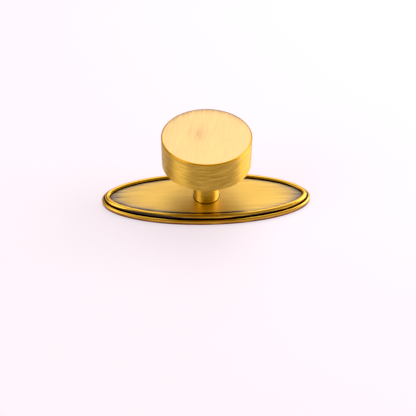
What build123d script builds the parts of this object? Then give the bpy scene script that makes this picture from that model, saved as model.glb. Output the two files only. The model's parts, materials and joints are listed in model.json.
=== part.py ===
from build123d import *
import math
import os

# Cabinet knob with an oval backplate, both of brass.
# Millimetres, +Z up, +X along the plate.
# The origin is the middle of the plate's back, which lies against the drawer front.

# Knob head: a flat disc
knob_diameter = 32.0
head_thickness = 11.8
face_edge_round = 0.35  # the edge between the face and the side
back_edge_round = 0.25  # the edge between the side and the underside

# Knob stem, turned from the same bar as the head
stem_diameter = 9.4
stem_length = 16.2
stem_root_fillet = 0.5  # where the stem meets the head's underside
stem_foot_round = 0.4  # the edge that stands on the plate

# Tapped hole up the stem for an M4 machine screw
thread_diameter = 4.0
tap_drill_diameter = 3.3
tapped_hole_depth = 13.0
drill_point_angle = 118.0
thread_mouth_countersink = 0.4  # how far the hole's mouth is opened out beyond the thread

# Backplate outline, an ellipse, and the height of its sunk face
plate_length = 77.5
plate_width = 27.2
face_height = 2.3

# Rim moulding, from the outside in: a lip, a groove and a half-round bead
lip_height = 1.85
lip_width = 0.65  # also the radius that rounds the lip over
lip_foot_round = 0.25
groove_width = 0.62
groove_floor_height = 1.3
groove_floor_width = 0.25
bead_radius = 0.87
bead_crest_height = 3.3

# Back of the plate: a shallow hollow inside a flat land, with a boss round the screw hole
back_land_width = 4.0
back_hollow_depth = 0.8
boss_diameter = 14.0

# Hole through the plate for the screw
screw_clearance = 0.5
screw_hole_bevel = 0.3

# A rounded corner is drawn as short flats that turn by this angle, so that the mesh stays light
flat_turn = 22.5

# Sizes and places that follow from the ones above
half_length = plate_length / 2
half_width = plate_width / 2
groove_floor_inset = lip_width + (groove_width - groove_floor_width) / 2
bead_inset = lip_width + groove_width + bead_radius
bead_centre_height = bead_crest_height - bead_radius
rim_width = bead_inset + bead_radius
screw_hole_radius = (thread_diameter + screw_clearance) / 2
knob_radius = knob_diameter / 2
stem_radius = stem_diameter / 2
stem_foot_height = face_height
head_back_height = stem_foot_height + stem_length
head_face_height = head_back_height + head_thickness
drill_radius = tap_drill_diameter / 2
mouth_radius = thread_diameter / 2 + thread_mouth_countersink
drill_tip_length = drill_radius / math.tan(math.radians(drill_point_angle / 2))


def rounded(centre, radius, start_angle, end_angle):
    """Points along a rounded corner. An angle of 0 points outwards, and one of 90 points up."""
    flats = math.ceil(abs(end_angle - start_angle) / flat_turn)
    points = []
    for step in range(flats + 1):
        angle = math.radians(start_angle + (end_angle - start_angle) * step / flats)
        points.append((centre[0] + radius * math.cos(angle), centre[1] + radius * math.sin(angle)))
    return points


def from_plate_edge(inset, height):
    """A point of the rim's section: so far in from the plate's end, so high above its back."""
    return (half_length - inset, height)


# Backplate: a flat slab inside the ring of the rim moulding.
with BuildPart() as backplate:
    # The slab ends under the bead, so the rim's outline is the only one that shows.
    with BuildSketch(Plane.XY):
        Ellipse(half_length - bead_inset, half_width - bead_inset)
    extrude(amount=face_height)

    # The rim's section, drawn where the oval's end crosses the XZ plane
    with BuildSketch(Plane.XZ):
        with BuildLine():
            Polyline(
                from_plate_edge(rim_width, 0),
                *rounded(from_plate_edge(lip_foot_round, lip_foot_round), lip_foot_round, -90, 0),
                *rounded(from_plate_edge(lip_width, lip_height - lip_width), lip_width, 0, 90),
                from_plate_edge(groove_floor_inset, groove_floor_height),
                from_plate_edge(groove_floor_inset + groove_floor_width, groove_floor_height),
                *rounded(from_plate_edge(bead_inset, bead_centre_height), bead_radius, 0, 180),
                close=True,
            )
        make_face()

    # The section runs once round the ellipse, square to it all the way.
    with BuildLine(Plane.XY):
        EllipticalCenterArc((0, 0), half_length, half_width, arc_size=360)
    sweep()

    # Hollow back, with the boss left standing in it
    with BuildSketch(Plane.XY):
        Ellipse(half_length - back_land_width, half_width - back_land_width)
        Circle(boss_diameter / 2, mode=Mode.SUBTRACT)
    extrude(amount=back_hollow_depth, mode=Mode.SUBTRACT)

    # Screw hole through the boss, bevelled at both ends
    with BuildSketch(Plane.XY):
        Circle(screw_hole_radius)
    extrude(amount=face_height, mode=Mode.SUBTRACT)
    hole_rims = backplate.edges().filter_by(GeomType.CIRCLE).group_by(SortBy.RADIUS)[0]
    chamfer(hole_rims, screw_hole_bevel)

backplate.part.label = "backplate"


# Centres of the knob's rounded corners, each as its distance from the axis and its height
foot_centre = (stem_radius - stem_foot_round, stem_foot_height + stem_foot_round)
root_centre = (stem_radius + stem_root_fillet, head_back_height - stem_root_fillet)
back_edge_centre = (knob_radius - back_edge_round, head_back_height + back_edge_round)
face_edge_centre = (knob_radius - face_edge_round, head_face_height - face_edge_round)

# Knob: one profile turned about the stem's axis.
with BuildPart() as knob:
    with BuildSketch(Plane.XZ):
        with BuildLine():
            Polyline(
                (0, stem_foot_height),
                *rounded(foot_centre, stem_foot_round, -90, 0),
                *rounded(root_centre, stem_root_fillet, 180, 90),
                *rounded(back_edge_centre, back_edge_round, -90, 0),
                *rounded(face_edge_centre, face_edge_round, 0, 90),
                (0, head_face_height),
                close=True,
            )
        make_face()
    revolve(axis=Axis.Z)

    # Tapped hole, with its drill point and the countersink at its mouth
    with BuildSketch(Plane.XZ):
        with BuildLine():
            Polyline(
                (0, stem_foot_height),
                (mouth_radius, stem_foot_height),
                (drill_radius, stem_foot_height + mouth_radius - drill_radius),
                (drill_radius, stem_foot_height + tapped_hole_depth),
                (0, stem_foot_height + tapped_hole_depth + drill_tip_length),
                close=True,
            )
        make_face()
    revolve(axis=Axis.Z, mode=Mode.SUBTRACT)

knob.part.label = "knob"


os.makedirs("parts", exist_ok=True)
export_step(backplate.part, "parts/backplate.step")
export_step(knob.part, "parts/knob.step")
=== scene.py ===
# %% [markdown]
# # A brushed brass knob on an oval backplate
#
# The object is a cabinet pull in two pieces. A solid brass knob, turned on a lathe, stands on a
# long oval plate of cast brass, whose raised rim is made of a lip, a groove and a half-round bead.
# This lesson dresses the solid model of both pieces: it gives them smooth edges, a cut thread,
# brushed and darkened brass, and a light tent to stand in. We start by loading the solids as a
# fixed frame, because the dressed pieces must be as large as they are and stand where they stand.

# %% Load the solid model
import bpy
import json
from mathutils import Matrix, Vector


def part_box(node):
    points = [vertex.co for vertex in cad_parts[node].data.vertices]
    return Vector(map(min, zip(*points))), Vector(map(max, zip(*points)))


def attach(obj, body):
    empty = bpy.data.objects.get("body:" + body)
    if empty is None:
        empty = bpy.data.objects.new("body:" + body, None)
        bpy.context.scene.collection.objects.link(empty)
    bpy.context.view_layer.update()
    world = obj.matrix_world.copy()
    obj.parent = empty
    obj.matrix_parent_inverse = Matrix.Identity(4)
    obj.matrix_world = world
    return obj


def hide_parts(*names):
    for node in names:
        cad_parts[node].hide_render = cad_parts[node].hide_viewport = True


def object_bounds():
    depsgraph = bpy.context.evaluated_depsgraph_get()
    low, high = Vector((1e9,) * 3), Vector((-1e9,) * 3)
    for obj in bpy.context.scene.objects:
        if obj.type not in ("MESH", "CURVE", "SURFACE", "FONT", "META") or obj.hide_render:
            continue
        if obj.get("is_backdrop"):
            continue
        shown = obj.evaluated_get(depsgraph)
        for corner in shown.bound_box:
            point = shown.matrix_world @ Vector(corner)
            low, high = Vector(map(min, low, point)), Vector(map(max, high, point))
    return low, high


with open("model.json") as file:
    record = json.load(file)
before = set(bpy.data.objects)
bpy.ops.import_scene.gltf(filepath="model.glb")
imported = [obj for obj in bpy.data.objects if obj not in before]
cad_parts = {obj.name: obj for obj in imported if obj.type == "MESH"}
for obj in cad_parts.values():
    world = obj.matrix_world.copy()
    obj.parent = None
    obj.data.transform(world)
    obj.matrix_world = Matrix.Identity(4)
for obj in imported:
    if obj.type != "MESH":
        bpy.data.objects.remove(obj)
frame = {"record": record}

solid_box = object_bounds()

# %% [markdown]
# ## Sizes
#
# A maker's drawing is in millimetres, and Blender works in metres, so the sizes are kept in
# millimetres and turned to metres only when a mesh is made. The overall sizes are read from the
# boxes of the solids. What a box can't tell, such as the section of the rim, is written once, as on
# the drawing, where it is needed. Sizes of the object are in small letters, and values that only
# set the mesh, the finishes or the light are in capitals.

# %% Sizes of both pieces
import math

MM = 0.001  # one millimetre in metres

_, plate_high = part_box("backplate")
knob_low, knob_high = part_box("knob")
half_length = plate_high.x / MM
half_width = plate_high.y / MM
crest_height = plate_high.z / MM
face_height = knob_low.z / MM  # the stem stands on the plate's sunk face
head_top = knob_high.z / MM
head_radius = knob_high.x / MM

mounts = {mount["name"]: mount["dims"] for mount in frame["record"]["mounts"]}
thread_crest_radius = mounts["knob_thread"]["r_mm"]
screw_hole_radius = mounts["screw_hole"]["r_mm"]

print(f"plate {2 * half_length:.1f} x {2 * half_width:.1f} mm")
print(f"head {2 * head_radius:.1f} mm across")

# %% [markdown]
# ## Rings and skins
#
# Both pieces can be drawn the same way. A section, which is a line of corners and arcs, is carried
# once round: in a circle for the turned knob, and along an oval for the plate. A Screw or Curve
# modifier can do that, but it gives no say over where each finish begins. So we lay rings of points
# through the section ourselves and stretch a skin over them, band by band.
#
# A section is a flat drawing, so the two helpers for it come first: one rounds its corners, and one
# measures the way along it.

# %% Rounding and measuring a section
ARC_TURN = 9.0  # degrees from one point of a rounded corner to the next


def rounded(centre, radius, start_angle, end_angle):
    """Points along an arc of a section. An angle of 0 points outwards and one of 90 points up."""
    steps = math.ceil(abs(end_angle - start_angle) / ARC_TURN)
    points = []
    for step in range(steps + 1):
        angle = math.radians(start_angle + (end_angle - start_angle) * step / steps)
        points.append((centre[0] + radius * math.cos(angle), centre[1] + radius * math.sin(angle)))
    return points


def along_section(points):
    """How far each point of a section lies from the first one, measured along the section."""
    reached = [0.0]
    for last, here in zip(points, points[1:]):
        reached.append(reached[-1] + math.dist(last, here))
    return reached


quarter = rounded((0, 0), 1, 0, 90)
quarter_length = along_section(quarter)[-1]
print("a quarter round has", len(quarter), "points and is", round(quarter_length, 3), "radii long")

# %% [markdown]
# A skin carries two things besides its shape, because the finishes need them:
#
# - a UV map called strokes, whose first axis runs across the brushing and whose second runs along
#   it, both in millimetres,
# - a number on every point for the dark colour, which says how much of it lies there: mostly
#   patina, and in a few places painted shade and painted reflections.
#
# So a ring knows its points, how far across the strokes it lies, its finish and its dark colour.

# %% Rings, and where their points lie in the strokes map
from collections import namedtuple

# One ring of points, in millimetres. Its finish covers the band from this ring to the next one.
Ring = namedtuple("Ring", "points across finish patina")
# A finish is a material and the way its strokes run: "round", "along x" or "along y".
Finish = namedtuple("Finish", "material strokes")


def stroke_place(ring, finish, station, stations, girth):
    """Where a ring's point lies in the strokes map: across the strokes, and along them."""
    x, y = ring.points[station % len(ring.points)][:2]
    if finish.strokes == "along x":
        return y, x
    if finish.strokes == "along y":
        return x, y
    return ring.across, girth * station / stations


sample = Ring([(5, 0, 0), (0, 5, 0)], 1.5, Finish(None, "round"), [0.0, 0.0])
print("the second of two stations lies at", stroke_place(sample, sample.finish, 1, 2, girth=20.0))

# %% [markdown]
# Neighbouring rings are joined by a band of faces with four corners each. A ring of a single point
# closes an end, and there the band is a fan of faces with three.

# %% The corners of one face of a band
def face_corners(rows, here, there, station):
    """The corners of the face at a station between two rows, as the row and the place in it."""
    if len(rows[here]) == 1:
        return [(here, station), (there, station + 1), (there, station)]
    if len(rows[there]) == 1:
        return [(here, station), (here, station + 1), (there, station)]
    return [(here, station), (here, station + 1), (there, station + 1), (there, station)]


print("corners of a face from a tip to a ring:", face_corners(["t", "abc"], 0, 1, 0))

# %% [markdown]
# The skin itself is made with bmesh, Blender's tool for building a mesh corner by corner. The
# shading is smooth, except over the edges that are crisp on the real piece.

# %% A skin over rings
import bmesh
import bpy
from mathutils import Quaternion, Vector

SHARP_ANGLE = 35.0  # an edge that turns by more degrees than this is shown crisp


def skin(name, rings, girth, closed=False):
    """A mesh stretched over rings of points. A ring of one point closes an end to a tip."""
    shape = bmesh.new()
    strokes = shape.loops.layers.uv.new("strokes")
    patina = shape.verts.layers.float.new("patina")
    rows = []
    for ring in rings:
        row = [shape.verts.new(Vector(point) * MM) for point in ring.points]
        for vert, amount in zip(row, ring.patina):
            vert[patina] = amount
        rows.append(row)
    materials = []
    stations = max(len(row) for row in rows)
    for here in range(len(rings) if closed else len(rings) - 1):
        there = (here + 1) % len(rings)
        finish = rings[here].finish
        if finish.material not in materials:
            materials.append(finish.material)
        for station in range(stations):
            corners = face_corners(rows, here, there, station)
            face = shape.faces.new([rows[row][place % len(rows[row])] for row, place in corners])
            face.smooth = True
            face.material_index = materials.index(finish.material)
            for loop, (row, place) in zip(face.loops, corners):
                loop[strokes].uv = stroke_place(rings[row], finish, place, stations, girth)
    bmesh.ops.recalc_face_normals(shape, faces=shape.faces)
    mesh = bpy.data.meshes.new(name)
    shape.to_mesh(mesh)
    shape.free()
    for material in materials:
        mesh.materials.append(material)
    mesh.set_sharp_from_angle(angle=math.radians(SHARP_ANGLE))
    piece = bpy.data.objects.new(name, mesh)
    bpy.context.scene.collection.objects.link(piece)
    print(name, "has", len(mesh.polygons), "faces in", len(rings), "rings of", stations)
    return piece


# %% [markdown]
# ## Colours and nodes
#
# Colours are written as the hex numbers that a picture editor shows. A renderer calculates with
# light, so one function turns them into linear numbers. One more function adds a node to a
# material, sets it, and fills its inputs with values or with the outputs of other nodes.

# %% From hex colours to linear light, and one way to add a node
def srgb(code):
    """A hex colour such as "#C08A3C" as linear red, green, blue and alpha."""
    channels = [int(code[place:place + 2], 16) / 255 for place in (1, 3, 5)]
    linear = [c / 12.92 if c <= 0.04045 else ((c + 0.055) / 1.055) ** 2.4 for c in channels]
    return (*linear, 1.0)


def add_node(tree, kind, settings=None, inputs=None):
    """Adds one node, with its settings, and with its inputs set to values or linked to outputs."""
    node = tree.nodes.new(kind)
    for name, value in (settings or {}).items():
        setattr(node, name, value)
    for name, value in (inputs or {}).items():
        if isinstance(value, bpy.types.NodeSocket):
            tree.links.new(value, node.inputs[name])
        else:
            node.inputs[name].default_value = value
    return node


print("brass in linear light:", [round(c, 3) for c in srgb("#D9A550")])

# %% [markdown]
# ## Brushed brass
#
# The metal is brass, which is copper with about a third of zinc. It was darkened in a chemical
# bath, brushed with an abrasive belt until the colour of the brass came back on everything that
# stood high, and then given a thin clear lacquer. The eye sees three things: fine parallel strokes,
# highlights that smear across the strokes and stay narrow along them, and black left wherever the
# belt couldn't reach.
#
# The strokes come first. An image of scratches could be used, but noise that is squeezed across the
# strokes and drawn out along them has no seams and can be given real widths. A fine belt leaves
# strokes of about 0.05 mm. A pixel of the picture is 0.37 mm, so the strokes are drawn two or three
# times as wide as they are, with a second layer of broad bands that shows from further off, as a
# bundle of strokes does.

# %% The grain of the strokes
GRAIN = (0.35, 0.65)  # mixed noise seldom leaves this range, so it is stretched over it
# The two layers of noise: how many strokes wide and long a mark is, and the steps of detail in it
FINE_STROKES = (1.0, 1.0, 2.0)
BROAD_BANDS = (4.0, 2.0, 1.0)
BAND_SHARE = 0.5  # how much of the grain is bands and not strokes
STROKE_DETAIL = 0.6  # how strongly the finer steps of detail show


def stroke_grain(tree, place, width, length, slant):
    """Noise drawn out along the strokes.

    The strokes stray sideways by the slant, in millimetres for each one that they run.
    """
    strokes = add_node(tree, "ShaderNodeUVMap", {"uv_map": "strokes"})
    across = add_node(tree, "ShaderNodeSeparateXYZ", inputs={"Vector": strokes.outputs["UV"]})
    # The way along the strokes is taken from the object, because round the knob the map has a seam.
    along = add_node(tree, "ShaderNodeSeparateXYZ", inputs={"Vector": place})
    travel = add_node(tree, "ShaderNodeMath", {"operation": "ADD"}, {
        0: along.outputs["X"], 1: along.outputs["Y"],
    })
    slanted = add_node(tree, "ShaderNodeMath", {"operation": "MULTIPLY_ADD"}, {
        0: travel.outputs["Value"], 1: slant / MM, 2: across.outputs["X"],
    })
    spot = add_node(tree, "ShaderNodeCombineXYZ", inputs={
        "X": slanted.outputs["Value"], "Y": along.outputs["X"], "Z": along.outputs["Y"],
    })
    layers = []
    for widths, lengths, detail in (FINE_STROKES, BROAD_BANDS):
        a_width = 1 / (width * widths)
        a_length = 1 / (length * lengths * MM)
        drawn = add_node(tree, "ShaderNodeVectorMath", {"operation": "MULTIPLY"}, {
            0: spot.outputs["Vector"], 1: (a_width, a_length, a_length),
        })
        layers.append(add_node(tree, "ShaderNodeTexNoise", inputs={
            "Vector": drawn.outputs["Vector"], "Scale": 1.0, "Detail": detail,
            "Roughness": STROKE_DETAIL,
        }))
    fine, broad = layers
    grain = add_node(tree, "ShaderNodeMix", {"data_type": "FLOAT"}, {
        "Factor": BAND_SHARE, "A": fine.outputs["Fac"], "B": broad.outputs["Fac"],
    })
    return grain.outputs["Result"]


print("broad bands:", BROAD_BANDS[0], "strokes wide and", BROAD_BANDS[1], "strokes long")

# %% [markdown]
# The colour has two steps. Clean brass wavers between a bright and a darker tone, from stroke to
# stroke and in soft clouds where a hand pressed a little more or less. Then the dark colour is laid
# over it, by the number that the mesh carries. Brass doesn't go black at once: a thin film first
# dulls it, to brown or to a milky grey, and a thick one is brown-black. The grain makes the edge
# ragged, so it breaks up into strokes, as it does where a belt lifts off.

# %% Clean brass, dulled brass and black
CLOUD_WIDTH = 7.0  # millimetres across a patch that was rubbed a little more or less
CLOUD_SHARE = 0.35  # how much of the waver is clouds and not strokes
CLOUD_DETAIL = 1.0  # one step of detail, so that the clouds are soft
RAGGED = (1.5, 0.5)  # patina is this many times as thick in the deep strokes and on the high ones
# The same black also paints shade: a contact shadow round the stem and a line under the head.
PATINA_AND_SHADE_BLACK = "#443D37"  # copper oxide
DULLED_BY = (0.0, 0.5)  # the thickness of patina over which brass is dulled
BLACK_BY = (0.4, 1.0)  # and over which it turns black


def clean_brass(tree, place, grain, bright, shade):
    """The colour of clean brass, which wavers with the grain and in soft clouds."""
    shine = add_node(tree, "ShaderNodeMapRange", inputs={
        "Value": grain, "From Min": GRAIN[0], "From Max": GRAIN[1],
    })
    cloud = add_node(tree, "ShaderNodeTexNoise", inputs={
        "Vector": place, "Scale": 1 / (CLOUD_WIDTH * MM), "Detail": CLOUD_DETAIL,
    })
    worn = add_node(tree, "ShaderNodeMix", {"data_type": "FLOAT"}, {
        "Factor": CLOUD_SHARE, "A": shine.outputs["Result"], "B": cloud.outputs["Fac"],
    })
    colour = add_node(tree, "ShaderNodeMix", {"data_type": "RGBA"}, {
        "Factor": worn.outputs["Result"], "A": srgb(shade), "B": srgb(bright),
    })
    return colour.outputs["Result"]


def darkened(tree, clean, grain, dulled):
    """The clean colour under patina and painted shade, as thick as the mesh says and ragged as the
    strokes.
    """
    left = add_node(tree, "ShaderNodeAttribute", {"attribute_name": "patina"})
    ragged = add_node(tree, "ShaderNodeMapRange", inputs={
        "Value": grain, "From Min": GRAIN[0], "From Max": GRAIN[1],
        "To Min": RAGGED[0], "To Max": RAGGED[1],
    })
    thickness = add_node(tree, "ShaderNodeMath", {"operation": "MULTIPLY", "use_clamp": True}, {
        0: left.outputs["Fac"], 1: ragged.outputs["Result"],
    })
    colour = clean
    for (start, end), tarnish in ((DULLED_BY, dulled), (BLACK_BY, PATINA_AND_SHADE_BLACK)):
        share = add_node(tree, "ShaderNodeMapRange", inputs={
            "Value": thickness.outputs["Value"], "From Min": start, "From Max": end,
        })
        covered = add_node(tree, "ShaderNodeMix", {"data_type": "RGBA"}, {
            "Factor": share.outputs["Result"], "A": colour, "B": srgb(tarnish),
        })
        colour = covered.outputs["Result"]
    return colour


print("full patina in linear light:", [round(c, 3) for c in srgb(PATINA_AND_SHADE_BLACK)])

# %% [markdown]
# One function puts a finish together. Metallic is 1, as for any bare metal, and the IOR stays at
# its default. Brushed metal usually has a roughness of 0.3 to 0.5, and each finish starts there.
# The smear is the shader's anisotropy. It follows the strokes map through a Tangent node, which
# points across the strokes, and that is why drawn strokes needn't be fine enough to smear the light
# themselves. The lacquer is the shader's coat, a little rough because it was sprayed on.

# %% A brushed brass
LACQUER_ROUGHNESS = 0.25
GLOSS_WAVER = 0.15  # roughness rises by this share in the deep strokes and falls on the high ones
# On the stem's foot this brown paints a contact shadow against the plate.
BROWN_FILM = "#6B4A22"  # brass that is dulled by a thin brown film


def brushed_brass(
    name, bright, shade, roughness, smear, stroke_width, stroke_length, depth,
    lacquer, slant=0.0, dulled=BROWN_FILM,
):
    """Brass with strokes of a real width, length and depth in millimetres, under a lacquer."""
    material = bpy.data.materials.new(name)
    material.use_nodes = True
    tree = material.node_tree
    place = add_node(tree, "ShaderNodeTexCoord").outputs["Object"]
    grain = stroke_grain(tree, place, stroke_width, stroke_length, slant)
    clean = clean_brass(tree, place, grain, bright, shade)
    gloss = add_node(tree, "ShaderNodeMapRange", inputs={
        "Value": grain, "From Min": GRAIN[0], "From Max": GRAIN[1],
        "To Min": roughness * (1 + GLOSS_WAVER), "To Max": roughness * (1 - GLOSS_WAVER),
    })
    relief = add_node(tree, "ShaderNodeBump", inputs={
        "Height": grain, "Strength": 1.0, "Distance": depth * MM,
    })
    across_strokes = add_node(tree, "ShaderNodeTangent", {
        "direction_type": "UV_MAP", "uv_map": "strokes",
    })

    metal = tree.nodes["Principled BSDF"]
    for socket, value in (
        ("Metallic", 1.0), ("Anisotropic", smear),
        ("Coat Weight", lacquer), ("Coat Roughness", LACQUER_ROUGHNESS),
    ):
        metal.inputs[socket].default_value = value
    for socket, output in (
        ("Base Color", darkened(tree, clean, grain, dulled)),
        ("Roughness", gloss.outputs["Result"]),
        ("Normal", relief.outputs["Normal"]),
        ("Tangent", across_strokes.outputs["Tangent"]),
    ):
        tree.links.new(output, metal.inputs[socket])
    print(f"{name}: roughness {roughness}, strokes {stroke_width} x {stroke_length} mm")
    return material


# %% [markdown]
# ## The finishes of the knob
#
# The knob was worked in several ways, and each leaves its own finish. They could be one material
# with masks, but then every mask has to be painted. Materials that begin and end on a ring of the
# mesh are simpler, and they end where the tool did: at a corner.
#
# The darkened brass is warmer than new brass, and the lacquer adds a touch of honey, so all the
# tones are deeper than the pale yellow that clean brass has in a table of metals.

# %% Finishes of the head
# Satin brass: the face was drawn over a fine belt, which leaves straight strokes that lean a
# little. It gives a pale, even sheen, with highlights that are wide across the strokes. Its tone is
# paler than the rest of the knob's, and that is partly a painted sheen, for the whitish highlight
# of the boxes behind. Its greyish-brown dulled colour paints a dark reflection in a patch on the
# face, and darkens a margin at its back.
face_brass = brushed_brass(
    "brass_brushed_straight", bright="#EAC27C", shade="#DFB476", roughness=0.34, smear=0.6,
    stroke_width=0.09, stroke_length=4.0, depth=0.0015, lacquer=0.6, slant=-0.12, dulled="#7A5A40",
)
# Brass brushed on the lathe: the side was held to the belt as it spun. The strokes run round it,
# and draw every light out into an upright band. They are the deepest ones, and show as streaks that
# cross a little.
side_brass = brushed_brass(
    "brass_brushed_round", bright="#F4C959", shade="#B98D2E", roughness=0.465, smear=0.94,
    stroke_width=0.16, stroke_length=4.0, depth=0.010, lacquer=0.2, slant=0.08,
)
# Polished brass: the corner of the face was broken by hand, which wipes the strokes away. It draws
# a thin line of deeper gold round the pale face.
edge_brass = brushed_brass(
    "brass_broken_edge", bright="#DC9E20", shade="#C88C1A", roughness=0.3, smear=0.0,
    stroke_width=0.3, stroke_length=6.0, depth=0.001, lacquer=0.2,
)
# Painted shade: the underside is given dark brown brass, which stands for the shade under the head.
# It is seen from low down, and it tints all that the plate mirrors in front of the stem.
underside_painted_shade_brass = brushed_brass(
    "brass_under_painted_shade", bright="#8E5E16", shade="#744A10", roughness=0.465, smear=0.94,
    stroke_width=0.16, stroke_length=4.0, depth=0.006, lacquer=0.2,
)

# %% Finishes of the stem and its thread
# Turned brass: the stem keeps the fine marks of the lathe tool, closer and shallower than the
# belt's. It has the same upright bands of light as the side, but cleaner. Its tone is brighter
# than the side's, and that is partly painted light, which brightens the stem's bands.
stem_brass = brushed_brass(
    "brass_turned_smooth", bright="#FFDA68", shade="#D2A43C", roughness=0.42, smear=0.9,
    stroke_width=0.14, stroke_length=6.0, depth=0.006, lacquer=0.2,
)
# Tapped brass: freshly cut, with no bath and no lacquer to speak of. It is a glint inside the hole.
tapped_brass = brushed_brass(
    "brass_tapped", bright="#D2A04C", shade="#B5853A", roughness=0.35, smear=0.3,
    stroke_width=0.1, stroke_length=4.0, depth=0.003, lacquer=0.1,
)

# %% [markdown]
# ## The finishes of the backplate
#
# The plate is a casting. Its sunk face was brushed along its length, its rim was rubbed back with a
# soft wheel, and its back, which nobody sees, was left as it came from the sand.

# %% Finishes of the backplate
# Satin brass: long shallow strokes along the plate. Where patina thins out on it, the lacquer over
# the film looks milky, so it is dulled to grey and not to brown. The same grey paints shade along
# the bead's foot and round the stem.
plate_brass = brushed_brass(
    "brass_brushed_long", bright="#F0C458", shade="#E6B850", roughness=0.5, smear=0.4,
    stroke_width=0.14, stroke_length=8.0, depth=0.003, lacquer=0.5, dulled="#A08A70",
)
# Relieved brass: a soft wheel leaves next to no strokes, so the rim's rounds carry smooth bands of
# light. A film that the wheel only thinned is a warm brown. The same brown paints a dark reflection
# low on the bead's front, and darkens the lip towards its foot.
rim_brass = brushed_brass(
    "brass_relieved_rim", bright="#F2BE46", shade="#E8B23C", roughness=0.3, smear=0.0,
    stroke_width=0.3, stroke_length=6.0, depth=0.001, lacquer=0.3, dulled="#84480A",
)
# Sand-cast brass: a dull brown skin with a fine grain. Sand leaves grains of about 0.2 mm, and they
# are drawn 0.8 mm across, because finer ones don't show.
cast_brass = brushed_brass(
    "brass_cast_back", bright="#A87C3A", shade="#8A642C", roughness=0.55, smear=0.0,
    stroke_width=0.8, stroke_length=0.8, depth=0.02, lacquer=0.6,
)

# %% [markdown]
# ## The knob
#
# The knob is turned from one bar, so one section says all of its shape: a flat face, a straight
# side, a flat underside, a stem and the blind hole up its middle.
#
# The corners are rounded by a fraction of a millimetre. That is small, but it is what draws the
# thin bright line round the face, so it is modelled and not left to the shader.

# %% The knob's section
head_thickness = 11.8
face_edge_round = 0.35
back_edge_round = 0.25
stem_radius = 4.7
stem_root_fillet = 0.5
stem_foot_round = 0.4
EDGE_LINE = 0.2  # how far in from the face's rounded edge the polished line begins

head_back = head_top - head_thickness

face_edge = rounded(
    (head_radius - face_edge_round, head_top - face_edge_round), face_edge_round, 90, 0,
)
back_edge = rounded(
    (head_radius - back_edge_round, head_back + back_edge_round), back_edge_round, 0, -90,
)
stem_root = rounded(
    (stem_radius + stem_root_fillet, head_back - stem_root_fillet), stem_root_fillet, 90, 180,
)
stem_foot = rounded(
    (stem_radius - stem_foot_round, face_height + stem_foot_round), stem_foot_round, 0, -90,
)
print(f"the stem stands at {face_height:.2f} mm and the head begins at {head_back:.2f} mm")

# %% [markdown]
# The hole is tapped for an M4 screw, whose thread climbs 0.7 mm each turn. The solid has a plain
# hole of the tapping drill's size. Here the wall of the hole moves in and out with height and with
# angle together, which is all that a thread is: a wave that climbs as it goes round. A helix could
# be swept and cut instead, but a cut with so many turns is slow and leaves ragged ends, while the
# wave simply dies out at both ends.

# %% The tapped hole's wall
thread_pitch = 0.7
thread_root_radius = 2.0
mouth_radius = 2.4
hole_depth = 13.0
drill_tip_angle = 59.0  # degrees between the drill's axis and its cutting edge
ROWS_A_TURN = 8

thread_start = face_height + mouth_radius - thread_crest_radius
thread_end = face_height + hole_depth
thread_length = thread_end - thread_start
drill_tip = thread_end + thread_crest_radius / math.tan(math.radians(drill_tip_angle))


def thread_radius(angle, height):
    """The radius of the tapped wall: crests at the drilled radius and roots cut out beyond it."""
    turns = (height - thread_start) / thread_pitch - angle / (2 * math.pi)
    wave = 1 - abs(2 * (turns % 1) - 1)
    cut = min(1.0, (height - thread_start) / thread_pitch, (thread_end - height) / thread_pitch)
    return thread_crest_radius + (thread_root_radius - thread_crest_radius) * wave * max(0.0, cut)


thread_rows = round(thread_length / thread_pitch * ROWS_A_TURN)
thread_heights = [
    thread_start + thread_length * row / thread_rows for row in range(thread_rows + 1)
]
print("thread:", round(thread_length / thread_pitch, 1), "turns in", len(thread_heights), "rows")

# %% [markdown]
# Now each point of the section gets the finish that begins there. The corners of the section run
# down the outside of the knob, from the face to the foot, and then up inside the hole.
#
# Three small marks are added. The face has a faint dull patch left of its middle, which is a
# painted dark reflection, and a thin dull margin along its back edge. The foot of the stem is a
# little dark, which is a painted contact shadow where it stands on the plate.

# %% The knob's section with its finishes
FACE_RINGS = 16  # one each millimetre, so that the patch and the margin show their shape
# The patch is a painted dark reflection on the face, left of its middle.
REFLECTION_PATCH_MIDDLE = (-2.8, 1.6)
REFLECTION_PATCH_REACH = (2.8, 4.4)  # how far the patch spreads, across the strokes and along them
REFLECTION_PATCH_DARKNESS = 0.12
MARGIN_REACH = 1.1  # how far in from the back edge the margin fades out
MARGIN_DULLING = 0.5
# The stem's foot and the hole's mouth carry a painted contact shadow, where the stem stands on the plate.
STEM_FOOT_PAINTED_SHADOW = 0.3

on_face = Finish(face_brass, "along y")
on_edge = Finish(edge_brass, "round")
on_side = Finish(side_brass, "round")
on_underside = Finish(underside_painted_shade_brass, "round")
on_stem = Finish(stem_brass, "round")
on_thread = Finish(tapped_brass, "round")


def head_reflection_and_margin(x, y):
    """Darkening on the head's face and its edge: a faint patch that is a painted dark reflection, and a
    dull margin at the back.
    """
    across = (x - REFLECTION_PATCH_MIDDLE[0]) / REFLECTION_PATCH_REACH[0]
    along = (y - REFLECTION_PATCH_MIDDLE[1]) / REFLECTION_PATCH_REACH[1]
    reflection_patch = REFLECTION_PATCH_DARKNESS * math.exp(-math.hypot(across, along) ** 2)
    to_back = math.sqrt(max(0.0, head_radius ** 2 - x ** 2)) - y
    return max(reflection_patch, MARGIN_DULLING * math.exp(-to_back / MARGIN_REACH))


hole_mouth = (mouth_radius, face_height)
face_radii = [head_radius * row / FACE_RINGS for row in range(1, FACE_RINGS)]

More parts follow.
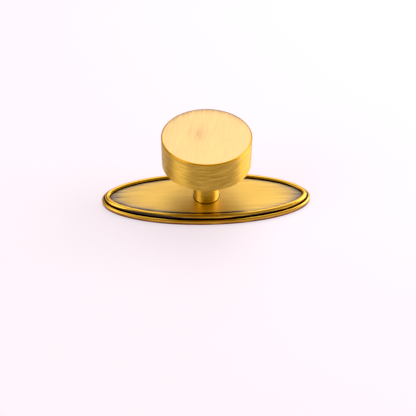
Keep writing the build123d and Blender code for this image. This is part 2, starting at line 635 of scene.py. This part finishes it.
knob_section = [((radius, head_top), on_face) for radius in face_radii]
knob_section.append(((head_radius - face_edge_round - EDGE_LINE, head_top), on_edge))
knob_section += [(corner, on_edge) for corner in face_edge[:-1]]
knob_section += [(corner, on_side) for corner in face_edge[-1:] + back_edge[:-1]]
knob_section.append((back_edge[-1], on_underside))
knob_section += [(corner, on_stem) for corner in stem_root + stem_foot + [hole_mouth]]
print("the knob's section has", len(knob_section), "points outside the hole")

# %% The knob's rings and its skin
KNOB_STATIONS = 256  # points in each of the knob's rings


def circle(radius, height):
    """A ring of points round the axis. The radius may be a function of angle and height."""
    ring = []
    for station in range(KNOB_STATIONS):
        angle = 2 * math.pi * station / KNOB_STATIONS
        reach = radius(angle, height) if callable(radius) else radius
        ring.append((reach * math.cos(angle), reach * math.sin(angle), height))
    return ring


face_centre = (0.0, head_top)
reached = along_section([face_centre] + [corner for corner, finish in knob_section])
knob_rings = [Ring([(0, 0, head_top)], 0.0, on_face, [0.0])]
for (corner, finish), across in zip(knob_section, reached[1:]):
    points = circle(*corner)
    if finish in (on_face, on_edge):
        patina = [head_reflection_and_margin(x, y) for x, y, z in points]
    else:
        # a painted contact shadow on the stem's foot and at the hole's mouth
        patina = [STEM_FOOT_PAINTED_SHADOW if corner in (stem_foot[-1], hole_mouth) else 0.0] * KNOB_STATIONS
    knob_rings.append(Ring(points, across, finish, patina))
for height in thread_heights:
    wall = circle(thread_radius, height)
    knob_rings.append(Ring(wall, reached[-1] + height, on_thread, [0.0] * KNOB_STATIONS))
knob_rings.append(Ring([(0, 0, drill_tip)], reached[-1] + drill_tip, on_thread, [0.0]))

knob = skin("knob_turned", knob_rings, girth=2 * math.pi * head_radius)
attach(knob, "root")
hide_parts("knob")

# %% [markdown]
# ## The backplate
#
# The plate's outline is an ellipse, and every line of its rim keeps the same distance from it. Such
# a line isn't an ellipse itself, so scaling the outline inwards would make the rim too thin at the
# long sides or too wide at the tips. Each station of a ring is moved square to the outline instead.

# %% The rim's sizes, and rings that follow the oval
lip_height = 1.85
lip_width = 0.65  # also the radius that rounds the lip over
lip_foot_round = 0.25
groove_width = 0.62
groove_floor_height = 1.3
groove_floor_width = 0.25
bead_radius = 0.87

groove_floor_inset = lip_width + (groove_width - groove_floor_width) / 2
bead_inset = lip_width + groove_width + bead_radius
bead_centre_height = crest_height - bead_radius
rim_width = bead_inset + bead_radius
face_tip = half_length - rim_width
face_side = half_width - rim_width

PLATE_STATIONS = 384  # points in each of the plate's rings


def ellipse(half_x, half_y, height):
    """A ring of points on an ellipse round the screw's axis."""
    ring = []
    for station in range(PLATE_STATIONS):
        angle = 2 * math.pi * station / PLATE_STATIONS
        ring.append((half_x * math.cos(angle), half_y * math.sin(angle), height))
    return ring


def oval(inset, height):
    """A ring of points that runs round the plate, so far in from its edge."""
    ring = []
    for x, y, z in ellipse(half_length, half_width, height):
        square = Vector((x / half_length ** 2, y / half_width ** 2)).normalized()
        ring.append((x - inset * square.x, y - inset * square.y, height))
    return ring


print(f"the rim is {rim_width:.2f} mm wide and its crest is {crest_height:.2f} mm high")
print(f"the face is {2 * face_tip:.1f} x {2 * face_side:.1f} mm inside the bead")

# %% [markdown]
# The belt that cleaned the plate ran along it. It skimmed the lip, the top of the bead and the open
# face, and it missed the groove, the foot of the bead and the pointed ends of the face, where it
# had to stop short of the bead. The black climbs higher up the bead in a few places, above all at
# the front left, where the black band is widest. Along the middle of the front, under the head,
# the bead's foot is a crisp black line: patina in the corner, with the head's shade painted into
# it. A brown film low on the bead's outer side there is a painted dark reflection. Painted shade
# also darkens the face along the bead's foot, and a painted contact shadow rings the stem. The
# black is thinnest at the back left.
#
# A mask could be painted by hand, but the black follows the shape, so it can be worked out: the
# dark colour, patina and painted shade together, is a number on each point of the mesh, found from
# where the point lies. It is full in the groove and under the bead, and on the face it fades along
# the strokes as they leave the bead.

# %% Where patina and painted shade lie on the sunk face
FULL_PATINA_AND_SHADE = 2.0  # black whatever the strokes do
TIP_PATINA = 0.85
# Left and right, in millimetres: how far along the strokes the tips clear, and how far in from the
# bead's foot a dull line fades out, at the front and at the back. The dull line is patina in the
# corner, with painted shade laid over it.
TIP_FADE = {-1: 3.9, 1: 3.3}
FRONT_FOOT_SHADE_FADE = {-1: 2.3, 1: 0.9}
BACK_FOOT_SHADE_FADE = {-1: 1.1, 1: 0.9}
# The dark ring round the stem is a painted contact shadow.
STEM_SHADOW_FADE = 0.4  # how far out from the stem a dark ring fades out
# The black line at the front is patina in the bead's corner, with the head's shade painted into it.
FRONT_LINE_MIDDLE = -2.0  # along the plate, the middle of the black line at the front
FRONT_LINE_REACH = (10.0, 18.0)  # how far from its middle it starts to thin, and how far it goes
FRONT_LINE_WIDTH = (0.9, 1.4)  # how far in from the foot it is black, and how far in it ends


def smooth(share):
    """Eases a share from 0 to 1."""
    share = min(1.0, max(0.0, share))
    return share * share * (3 - 2 * share)


def fading(value, start, end):
    """Eases from 1 to 0 as a value goes from start to end."""
    return 1 - smooth((value - start) / (end - start))


def left_to_right(x, sides):
    """A value that eases from its left side to its right one across the middle of the plate."""
    return sides[-1] + (sides[1] - sides[-1]) * smooth(0.5 + x / half_length)


def face_patina_and_shade(x, y, from_foot):
    """Patina and painted shade on the sunk face, for a point that lies so far in from the bead's foot."""
    to_bead = face_tip * math.sqrt(max(0.0, 1 - (y / face_side) ** 2)) - abs(x)
    tip = TIP_PATINA * math.exp(-to_bead / TIP_FADE[1 if x > 0 else -1])
    # patina in the corner at the bead's foot, with painted shade laid over it
    dull_and_shade = fading(from_foot, 0.0, left_to_right(x, BACK_FOOT_SHADE_FADE if y > 0 else FRONT_FOOT_SHADE_FADE))
    # a painted contact shadow round the stem
    ring = fading(math.hypot(x, y), stem_radius, stem_radius + STEM_SHADOW_FADE)
    # a black line at the front: patina in the corner, with the head's shade painted into it
    line = FULL_PATINA_AND_SHADE * fading(from_foot, *FRONT_LINE_WIDTH) if y < 0 else 0.0
    return max(tip, dull_and_shade, ring, line * fading(abs(x - FRONT_LINE_MIDDLE), *FRONT_LINE_REACH))


print("patina in the middle of the left half:", round(face_patina_and_shade(-face_tip / 2, 0, face_side), 4))

# %% Where patina and a painted reflection lie on the rim
# Angles round the bead's section are in degrees, from 0 at the groove to 180 at the face.
CLEAN_START = -10.0  # where the part that the belt cleaned begins
CLEAN_END = {-1: 168.0, 1: 158.0}  # and where it ends, left and right
CLEAN_EDGE = 12.0  # the angle over which the patina comes in
# Where the black climbs higher: the place on the oval in degrees, and how far up the bead it climbs
# there
BLACK_CLIMB = ((228.0, 44.0), (247.0, 22.0), (300.0, 20.0))
HIGH_SPREAD = 16.0  # degrees along the oval
# A brown film on the bead's outer side, which is a painted dark reflection: its place on the oval,
# and where round the bead it ends
DARK_REFLECTION_FILM = 0.22
DARK_REFLECTION_MIDDLE = 264.0
DARK_REFLECTION_SPREAD = 22.0
DARK_REFLECTION_TOP = (42.0, 62.0)
LIP_PATINA = 0.08
LIP_FOOT_DARKENING = 0.55
LIP_FOOT_FADE = (0.2, 1.7)  # heights between which the lip clears


def hump(place, middle, spread):
    """Rises to 1 at one place on the oval, and falls away on both sides of it."""
    return math.exp(-((place - middle) / spread) ** 2)


def bead_patina_and_reflection(turned, place):
    """Patina on the bead, and a painted dark reflection low on its front, so many degrees round its
    section and at a place on the oval.
    """
    climb = sum(height * hump(place, middle, HIGH_SPREAD) for middle, height in BLACK_CLIMB)
    clean_end = left_to_right(half_length * math.cos(math.radians(place)), CLEAN_END)
    past = max(CLEAN_START + climb - turned, turned - clean_end)
    dark_reflection = DARK_REFLECTION_FILM * hump(place, DARK_REFLECTION_MIDDLE, DARK_REFLECTION_SPREAD) * fading(turned, *DARK_REFLECTION_TOP)
    return max(dark_reflection, FULL_PATINA_AND_SHADE * smooth(0.5 + past / CLEAN_EDGE))


def lip_film_and_darkening(height):
    """A thin film of patina over the lip, and a darkening that grows towards its foot, where it meets the
    drawer front.
    """
    return LIP_PATINA + LIP_FOOT_DARKENING * fading(height, *LIP_FOOT_FADE)


for spot, place in (("front left", 228), ("right tip", 0)):
    print(f"patina on the bead's outer foot, {spot}: {bead_patina_and_reflection(0, place):.2f}")

# %% [markdown]
# The plate is skinned from the screw hole outwards. On the face, rings are circles round the stem
# and turn into the oval on the way out, and they lie closer together where patina and painted shade
# change fast.

# %% Rings of the sunk face
screw_hole_bevel = 0.3
bevel_radius = screw_hole_radius + screw_hole_bevel
STEM_RING_RADII = (4.6, 4.7, 4.85, 5.0, 5.2, 5.4, 5.7)
FOOT_INSETS = (2.4, 1.9, 1.5, 1.1, 0.8, 0.5, 0.25, 0.0)
FACE_ROWS = 20  # steps from the last circle to the oval

on_plate_face = Finish(plate_brass, "along x")
on_rim = Finish(rim_brass, "round")
on_back = Finish(cast_brass, "along x")


def face_ring(points, from_foot, finish=on_plate_face):
    """A ring on the sunk face, with the patina and painted shade on each of its points."""
    return Ring(points, 0.0, finish, [face_patina_and_shade(x, y, from_foot) for x, y, z in points])


inner_foot = FOOT_INSETS[0]
circles = [ellipse(radius, radius, face_height) for radius in (bevel_radius, *STEM_RING_RADII)]
plate_rings = [face_ring(points, inner_foot) for points in circles]
near_foot = oval(rim_width + inner_foot, face_height)
for row in range(1, FACE_ROWS):
    points = [Vector(a).lerp(Vector(b), row / FACE_ROWS)[:] for a, b in zip(circles[-1], near_foot)]
    plate_rings.append(face_ring(points, inner_foot))
for from_foot in FOOT_INSETS[:-1]:
    plate_rings.append(face_ring(oval(rim_width + from_foot, face_height), from_foot))
plate_rings.append(face_ring(oval(rim_width, face_height), 0.0, on_rim))
print("the sunk face has", len(plate_rings), "rings")

# %% Rings of the rim, from the bead's inner foot over the groove to the lip's foot
groove_wall_drop = 0.08  # the wall of the groove ends this far under the lip's crest
LIP_WALL_MIDDLE = 0.6  # a ring half-way down the lip's outer wall, for the patina to fade over

places = [360 * station / PLATE_STATIONS for station in range(PLATE_STATIONS)]
bead = rounded((-bead_inset, bead_centre_height), bead_radius, 180, 0)
lip = rounded((-lip_width, lip_height - lip_width), lip_width, 90, 0)
lip += [(0.0, LIP_WALL_MIDDLE)] + rounded((-lip_foot_round, lip_foot_round), lip_foot_round, 0, -90)

rim_section = []
for step, (out, height) in enumerate(bead):
    turned = 180 - step * ARC_TURN
    rim_section.append((-out, height, [bead_patina_and_reflection(turned, place) for place in places]))
for inset, height in (
    (groove_floor_inset + groove_floor_width, groove_floor_height),
    (groove_floor_inset, groove_floor_height),
    (lip_width, lip_height - groove_wall_drop),
):
    rim_section.append((inset, height, [FULL_PATINA_AND_SHADE] * PLATE_STATIONS))
for out, height in lip:
    rim_section.append((-out, height, [lip_film_and_darkening(height)] * PLATE_STATIONS))

bead_foot = (rim_width, face_height)
reached = along_section([bead_foot] + [(inset, height) for inset, height, patina in rim_section])
for (inset, height, patina), across in zip(rim_section, reached[1:]):
    plate_rings.append(Ring(oval(inset, height), across, on_rim, patina))
plate_rings[-1] = plate_rings[-1]._replace(finish=on_back)
print("the rim's section is", round(reached[-1], 2), "mm long in", len(rim_section), "rings")

# %% [markdown]
# Under the plate is a shallow hollow, which saves metal and lets the flat land round it sit tight
# on the drawer front. A boss stands in it, so that the screw clamps metal and doesn't bend the
# plate. The last ring is joined to the first one inside the screw hole, which closes the skin.

# %% Rings of the back, and the plate's skin
back_land_width = 4.0
back_hollow_depth = 0.8
boss_radius = 7.0
BACK_PATINA = 0.3  # the bath darkened the back as well, and nothing cleaned it

hollow = (half_length - back_land_width, half_width - back_land_width)
for points in (
    ellipse(*hollow, 0.0),
    ellipse(*hollow, back_hollow_depth),
    ellipse(boss_radius, boss_radius, back_hollow_depth),
    ellipse(boss_radius, boss_radius, 0.0),
    ellipse(bevel_radius, bevel_radius, 0.0),
    ellipse(screw_hole_radius, screw_hole_radius, screw_hole_bevel),
    ellipse(screw_hole_radius, screw_hole_radius, face_height - screw_hole_bevel),
):
    plate_rings.append(Ring(points, 0.0, on_back, [BACK_PATINA] * PLATE_STATIONS))

plate = skin("backplate_moulded", plate_rings, girth=2 * math.pi * half_length, closed=True)
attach(plate, "root")
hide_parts("backplate")

# %% [markdown]
# ## The floor
#
# The object lies on a sheet of matt white board with a breath of pink in it, as on a photographer's
# table. A small table shows its edge, a large one shows where the lamps stop reaching, and a board
# that is bent up behind the object only works from one side. So the board fades out with distance,
# and the pale backdrop shows through: the floor then has no edge and no horizon from any side. It
# also glows a little by itself, which stands for the light that a real white table passes back and
# forth with the tent, and keeps the shadow under the plate faint.

# %% The board's material
BOARD_FADE = (0.22, 0.55)  # metres from the object, from the start of the fade to its end
BOARD_GLOW = 0.58  # the share of its brightness that the board gives by itself
CARD_ROUGHNESS = 0.9
CARD_SHINE = 0.1  # the shader's specular level, low because chalk hardly shines

# Matt-coated card: a chalky, even white with no highlight.
board = bpy.data.materials.new("card_matt_white")
board.use_nodes = True
board_tree = board.node_tree
card = board_tree.nodes["Principled BSDF"]
for socket, value in (
    ("Base Color", srgb("#B8B1B5")), ("Roughness", CARD_ROUGHNESS),
    ("Specular IOR Level", CARD_SHINE),
    ("Emission Color", srgb("#FFF4FB")), ("Emission Strength", BOARD_GLOW),
):
    card.inputs[socket].default_value = value

board_place = add_node(board_tree, "ShaderNodeTexCoord")
from_object = add_node(board_tree, "ShaderNodeVectorMath", {"operation": "LENGTH"}, {
    0: board_place.outputs["Object"],
})
faded = add_node(board_tree, "ShaderNodeMapRange", {"interpolation_type": "SMOOTHSTEP"}, {
    "Value": from_object.outputs["Value"], "From Min": BOARD_FADE[0], "From Max": BOARD_FADE[1],
})
clear = add_node(board_tree, "ShaderNodeBsdfTransparent")
fading_card = add_node(board_tree, "ShaderNodeMixShader", inputs={
    0: faded.outputs["Result"], 1: card.outputs["BSDF"], 2: clear.outputs["BSDF"],
})
board_surface = board_tree.nodes["Material Output"].inputs["Surface"]
board_tree.links.new(fading_card.outputs["Shader"], board_surface)
print("the board fades from", BOARD_FADE[0], "to", BOARD_FADE[1], "m")

# %% The board
BOARD_RADIUS = 0.7  # metres
BOARD_CORNERS = 64
BOARD_DROP = 0.02 * MM  # just under the plate, so that the two faces don't flicker

corners = []
for corner in range(BOARD_CORNERS):
    angle = 2 * math.pi * corner / BOARD_CORNERS
    corners.append((BOARD_RADIUS * math.cos(angle), BOARD_RADIUS * math.sin(angle), 0))
board_mesh = bpy.data.meshes.new("floor")
board_mesh.from_pydata(corners, [], [range(BOARD_CORNERS)])
board_mesh.materials.append(board)
floor = bpy.data.objects.new("floor", board_mesh)
floor.location.z = -BOARD_DROP
bpy.context.scene.collection.objects.link(floor)
floor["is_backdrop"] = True
print("the board is", 2 * BOARD_RADIUS, "m across")

# %% [markdown]
# ## The light
#
# Metal shows little of its own: it shows the room. A picture of a room could be wrapped round the
# scene, but soft boxes can be placed and measured one by one, as a photographer does. Two stand low
# at the sides and draw the two bright bands on the head and the stem. Two more stand behind the
# object, where the flat faces mirror them, and make the face and the open ends of the plate glow.
# Nothing stands in front, so the front of the side stays deep gold.
#
# A lamp's strength in Blender is its whole power, so a larger lamp would look dimmer. The boxes are
# given by how bright they look instead: 1 is as bright as white paper in the picture. The power
# follows from that and from the box's area.

# %% Soft boxes round the object
BOX_DISTANCE = 0.6  # metres from the object to the middle of each box


def towards(azimuth, elevation):
    """A direction from the object. Azimuth 0 is the front, 90 the right and 180 the back."""
    turn, lift = math.radians(azimuth), math.radians(elevation)
    level = math.cos(lift)
    return Vector((math.sin(turn) * level, -math.cos(turn) * level, math.sin(lift)))


def soft_box(name, azimuth, elevation, width, height, brightness):
    """A soft box that faces the object, with its sizes in metres."""
    lamp = bpy.data.lights.new(name, "AREA")
    lamp.shape = "RECTANGLE"
    lamp.size, lamp.size_y = width, height
    lamp.energy = brightness * math.pi * width * height
    box = bpy.data.objects.new(name, lamp)
    away = towards(azimuth, elevation)
    box.location = away * BOX_DISTANCE
    box.rotation_mode = "QUATERNION"
    box.rotation_quaternion = away.to_track_quat("Z", "Y")
    bpy.context.scene.collection.objects.link(box)
    print(f"{name}: {lamp.energy:.2f} W")


# The name of each box, its azimuth and elevation, its width and height, and its brightness
for box_name, azimuth, elevation, width, height, brightness in (
    ("soft_box_left", -66, 25, 0.39, 0.56, 2.0),
    ("soft_box_right", 100, 22, 0.50, 0.56, 3.5),
    ("soft_box_behind", 162, 45, 0.68, 0.41, 1.36),
    ("soft_box_behind_high", 180, 70, 0.60, 0.25, 1.3),
):
    soft_box(box_name, azimuth, elevation, width, height, brightness)

# %% [markdown]
# The tent round all this passes on a little light from everywhere. What the camera sees behind the
# object is a pale backdrop, much brighter than the tent is in the metal, and a Light Path node
# tells the two apart. At last, the picture is developed as the photograph was: with plain colours,
# and with the darkest hundredth of the light cut to black, which makes the shadows in the gold deep
# and rich.

# %% The tent, the backdrop and the tones
TENT_LIGHT = 0.26  # as bright as this beside white paper
BACKDROP_LIGHT = 1.0
BLACK_LEVEL = 0.01  # light below this is shown as black

world = bpy.data.worlds.new("light_tent")
bpy.context.scene.world = world
world.use_nodes = True
air = world.node_tree
tent = add_node(air, "ShaderNodeBackground", inputs={
    "Color": srgb("#FFF8FC"), "Strength": TENT_LIGHT,
})
backdrop = add_node(air, "ShaderNodeBackground", inputs={
    "Color": srgb("#FEF7FC"), "Strength": BACKDROP_LIGHT,
})
looks = add_node(air, "ShaderNodeLightPath")
either = add_node(air, "ShaderNodeMixShader", inputs={
    0: looks.outputs["Is Camera Ray"],
    1: tent.outputs["Background"], 2: backdrop.outputs["Background"],
})
air.links.new(either.outputs["Shader"], air.nodes["World Output"].inputs["Surface"])

view = bpy.context.scene.view_settings
view.view_transform = "Standard"
view.use_curve_mapping = True
view.curve_mapping.black_level = (BLACK_LEVEL,) * 3
print("the tent gives", TENT_LIGHT, "of a white backdrop's light")

# %% [markdown]
# ## The camera
#
# The photograph was taken from in front and well above, with a long lens. Its place was worked out
# from two curves that are easy to see: the round face of the knob and the oval of the plate. How
# flat they look gives the angle, how their sizes compare gives the distance, and a small lean of
# the plate gives the roll.

# %% The camera's place
IMAGE_SIDE = 416  # pixels
FOCAL_LENGTH = 850.0  # pixels
SENSOR_WIDTH = 36.0  # millimetres
CLIP_START = 10 * MM  # no view comes nearer than this
CAMERA_AZIMUTH = -2.35
CAMERA_ELEVATION = 42.8
CAMERA_ROLL = 0.506
CAMERA_DISTANCE = 314.4 * MM
CAMERA_TARGET = Vector((0.5, -4.4, 0.0)) * MM

camera_data = bpy.data.cameras.new("camera")
camera_data.sensor_width = SENSOR_WIDTH
camera_data.lens = SENSOR_WIDTH * FOCAL_LENGTH / IMAGE_SIDE
camera_data.clip_start = CLIP_START
camera = bpy.data.objects.new("camera", camera_data)
bpy.context.scene.collection.objects.link(camera)
back = towards(CAMERA_AZIMUTH, CAMERA_ELEVATION)
camera.location = CAMERA_TARGET + back * CAMERA_DISTANCE
camera.rotation_mode = "QUATERNION"
roll = Quaternion((0, 0, 1), math.radians(CAMERA_ROLL))
camera.rotation_quaternion = back.to_track_quat("Z", "Y") @ roll
bpy.context.scene.camera = camera
print(f"a {camera_data.lens:.0f} mm lens at", [round(c / MM, 1) for c in camera.location], "mm")

# %% [markdown]
# ## Measure and finish
#
# The dressed pieces must fill the same box as the solids, or the part would no longer fit where it
# is used.

# %% Measure both boxes, and print them
import json

dressed_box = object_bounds()
boxes = {"cad": [list(corner) for corner in solid_box], "visual": [list(corner) for corner in dressed_box]}
for name, box in boxes.items():
    print(name, "box in mm:", [[round(v / MM, 2) for v in corner] for corner in box])
